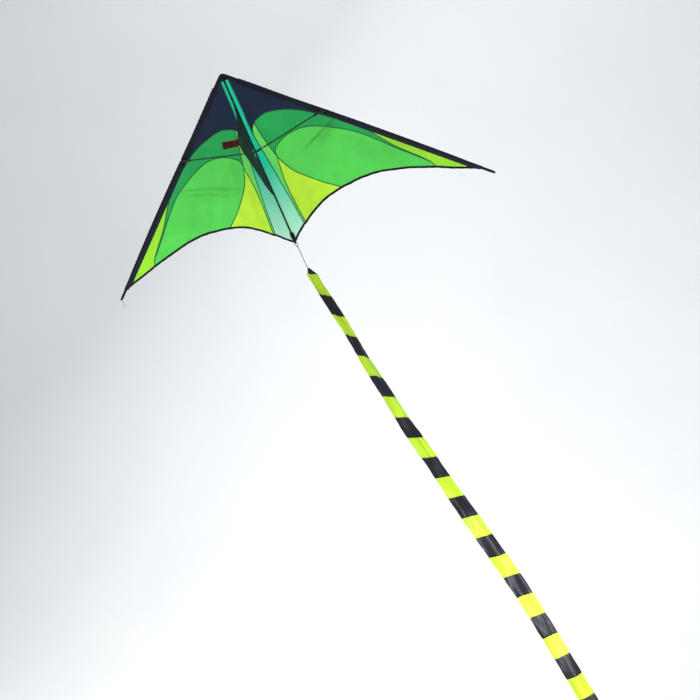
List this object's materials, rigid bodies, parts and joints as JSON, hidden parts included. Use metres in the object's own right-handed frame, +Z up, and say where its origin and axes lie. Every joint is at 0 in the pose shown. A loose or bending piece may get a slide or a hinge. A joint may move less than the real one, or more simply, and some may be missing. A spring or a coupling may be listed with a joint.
{
  "type": "delta kite",
  "caption": "Delta kite with a folding rod frame, a keel with a tow loop, and a long striped tube tail on a short link cord.",
  "frame": {"origin": "the tow point, at the lowest corner of the keel, where the webbing loop is sewn on", "axes": "+X along the span, +Y away from the flyer, +Z up; the spine leans 24 degrees back in flight"},
  "size_m": [1.6048, 0.5454, 2.9521],
  "materials": {
    "rod": "black pultruded glass fibre, satin",
    "fitting": "moulded black plastic",
    "teal_ripstop": "dark teal ripstop, semi-translucent",
    "black_binding": "woven black binding tape",
    "mint_ripstop": "mint ripstop, shading from teal at the nose",
    "light_green_ripstop": "light green ripstop",
    "navy_ripstop": "navy ripstop",
    "forest_ripstop": "forest green ripstop",
    "bright_ripstop": "bright green ripstop",
    "lime_ripstop": "lime ripstop",
    "red_webbing": "woven red polyester webbing",
    "cord": "twisted black polyester cord",
    "tail_lime": "lime polyester taffeta",
    "tail_black": "black polyester taffeta"
  },
  "bodies": {
    "airframe": {"spine_rod": "rod", "spine_sleeve": "teal_ripstop", "nose_patch": "black_binding", "tail_pocket": "black_binding", "spreader_joiner": "fitting", "left_mint_panel": "mint_ripstop", "right_mint_panel": "mint_ripstop", "left_light_green_panel": "light_green_ripstop", "right_light_green_panel": "light_green_ripstop", "left_navy_panel": "navy_ripstop", "right_navy_panel": "navy_ripstop", "left_forest_panel": "forest_ripstop", "right_forest_panel": "forest_ripstop", "left_bright_panel": "bright_ripstop", "right_bright_panel": "bright_ripstop", "left_inner_lime_panel": "lime_ripstop", "right_inner_lime_panel": "lime_ripstop", "left_tip_lime_panel": "lime_ripstop", "right_tip_lime_panel": "lime_ripstop", "left_trailing_tape": "black_binding", "right_trailing_tape": "black_binding"},
    "left_wing_edge": {"left_leading_rod": "rod", "left_leading_hem": "navy_ripstop", "left_rod_cap": "fitting", "left_tip_pocket": "black_binding", "left_rod_clip": "fitting", "left_tip_tie": "cord"},
    "right_wing_edge": {"right_leading_rod": "rod", "right_leading_hem": "navy_ripstop", "right_rod_cap": "fitting", "right_tip_pocket": "black_binding", "right_rod_clip": "fitting"},
    "left_spreader": {"left_spreader_socket": "fitting", "left_spreader_rod": "rod"},
    "right_spreader": {"right_spreader_socket": "fitting", "right_spreader_rod": "rod"},
    "keel": {"keel_panel": "teal_ripstop", "keel_binding": "black_binding", "keel_corner_patch": "black_binding"},
    "tow_loop": {"tow_loop": "red_webbing"},
    "tail_link": {"tail_link_cord": "cord", "tail_link_knot": "cord"},
    "tail_upper": {"tail_header": "tail_black", "tail_upper_lime": "tail_lime", "tail_upper_black": "tail_black"},
    "tail_middle": {"tail_middle_lime": "tail_lime", "tail_middle_black": "tail_black"},
    "tail_lower": {"tail_lower_lime": "tail_lime", "tail_lower_black": "tail_black"}
  },
  "joints": [
    {"name": "left_rod_fold", "type": "hinge", "parent": "airframe", "child": "left_wing_edge", "pos_m": [0, 0.08603, 0.26161], "axis": [-0.1604, -0.9017, -0.4015], "range_deg": [0, 30], "deforming": ["left_mint_panel", "left_light_green_panel", "left_navy_panel", "left_forest_panel", "left_bright_panel", "left_inner_lime_panel", "left_tip_lime_panel", "left_trailing_tape"]},
    {"name": "right_rod_fold", "type": "hinge", "parent": "airframe", "child": "right_wing_edge", "pos_m": [0, 0.08603, 0.26161], "axis": [-0.1604, 0.9017, 0.4015], "range_deg": [0, 30], "deforming": ["right_mint_panel", "right_light_green_panel", "right_navy_panel", "right_forest_panel", "right_bright_panel", "right_inner_lime_panel", "right_tip_lime_panel", "right_trailing_tape"]},
    {"name": "left_spreader_swing", "type": "hinge", "parent": "left_wing_edge", "child": "left_spreader", "pos_m": [-0.28196, 0.22563, 0.03605], "axis": [0.1604, 0.9017, 0.4015], "range_deg": [0, 102]},
    {"name": "right_spreader_swing", "type": "hinge", "parent": "right_wing_edge", "child": "right_spreader", "pos_m": [0.28196, 0.22563, 0.03605], "axis": [0.1604, -0.9017, -0.4015], "range_deg": [0, 102]},
    {"name": "keel_swing", "type": "hinge", "parent": "airframe", "child": "keel", "pos_m": [0, 0.20805, -0.01245], "axis": [0, 0.4067, -0.9135], "range_deg": [-60, 60]},
    {"name": "tow_loop_swing", "type": "hinge", "parent": "keel", "child": "tow_loop", "pos_m": [0, 0, 0], "axis": [0, 0.4067, -0.9135], "range_deg": [-157, 13]},
    {"name": "tail_link_swing", "type": "hinge", "parent": "airframe", "child": "tail_link", "pos_m": [0, 0.374, -0.38518], "axis": [-1, 0, 0], "range_deg": [-45, 45]},
    {"name": "tail_swing", "type": "hinge", "parent": "tail_link", "child": "tail_upper", "pos_m": [0.01489, 0.374, -0.49114], "axis": [0, 1, 0], "range_deg": [-26, 54]},
    {"name": "tail_bend_upper", "type": "hinge", "parent": "tail_upper", "child": "tail_middle", "pos_m": [0.20311, 0.374, -1.24603], "axis": [-1, 0, 0], "range_deg": [-20, 20], "deforming": ["tail_upper_lime", "tail_upper_black", "tail_middle_lime", "tail_middle_black"]},
    {"name": "tail_bend_lower", "type": "hinge", "parent": "tail_middle", "child": "tail_lower", "pos_m": [0.42151, 0.374, -1.96039], "axis": [0, 1, 0], "range_deg": [-20, 20], "deforming": ["tail_middle_lime", "tail_middle_black", "tail_lower_lime", "tail_lower_black"]}
  ],
  "couplings": [
    {"joint": "left_spreader_swing", "follows": "left_rod_fold", "ratio": 3.4},
    {"joint": "right_spreader_swing", "follows": "right_rod_fold", "ratio": 3.4}
  ]
}
